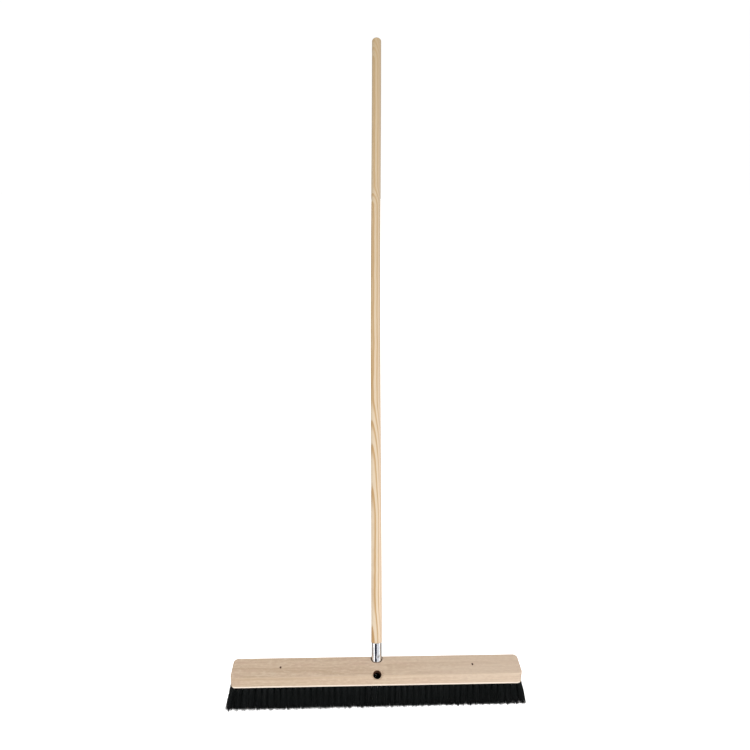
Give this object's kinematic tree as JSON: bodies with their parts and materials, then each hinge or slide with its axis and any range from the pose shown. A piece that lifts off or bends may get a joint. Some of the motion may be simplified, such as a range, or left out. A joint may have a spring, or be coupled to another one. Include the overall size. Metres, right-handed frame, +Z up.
{
  "type": "push broom",
  "caption": "Wide push broom: wooden block with two slanted handle holes, dense dark bristles and a long wooden handle screwed into the back hole by a threaded metal ferrule.",
  "frame": {"origin": "centre of the block's flat top face, between the two handle holes; the bristle tips are 75 mm below it", "axes": "+Z up out of the block's top face, +X along the block's length, +Y across the block towards the side that the handle leans to"},
  "size_m": [0.6316, 0.8123, 1.3778],
  "materials": {
    "block_wood": "matte",
    "handle_wood": "satin",
    "bright_plating": "polished",
    "nail_steel": "satin",
    "bristle_filament": "satin"
  },
  "bodies": {
    "head": {"block": "block_wood", "bristles_row_1_section_1": "bristle_filament", "bristles_row_1_section_2": "bristle_filament", "bristles_row_1_section_3": "bristle_filament", "bristles_row_1_section_4": "bristle_filament", "bristles_row_2_section_1": "bristle_filament", "bristles_row_2_section_2": "bristle_filament", "bristles_row_2_section_3": "bristle_filament", "bristles_row_2_section_4": "bristle_filament", "bristles_row_3_section_1": "bristle_filament", "bristles_row_3_section_2": "bristle_filament", "bristles_row_3_section_3": "bristle_filament", "bristles_row_3_section_4": "bristle_filament", "bristles_row_4_section_1": "bristle_filament", "bristles_row_4_section_2": "bristle_filament", "bristles_row_4_section_3": "bristle_filament", "bristles_row_4_section_4": "bristle_filament", "bristles_row_5_section_1": "bristle_filament", "bristles_row_5_section_2": "bristle_filament", "bristles_row_5_section_3": "bristle_filament", "bristles_row_5_section_4": "bristle_filament"},
    "handle": {"handle": "handle_wood", "threaded_ferrule": "bright_plating", "ferrule_nail": "nail_steel"}
  },
  "joints": [
    {"name": "handle_unscrew", "type": "slide", "parent": "head", "child": "handle", "axis": [0.0087, 0.5, 0.866], "range_m": [0, 0.028]}
  ]
}
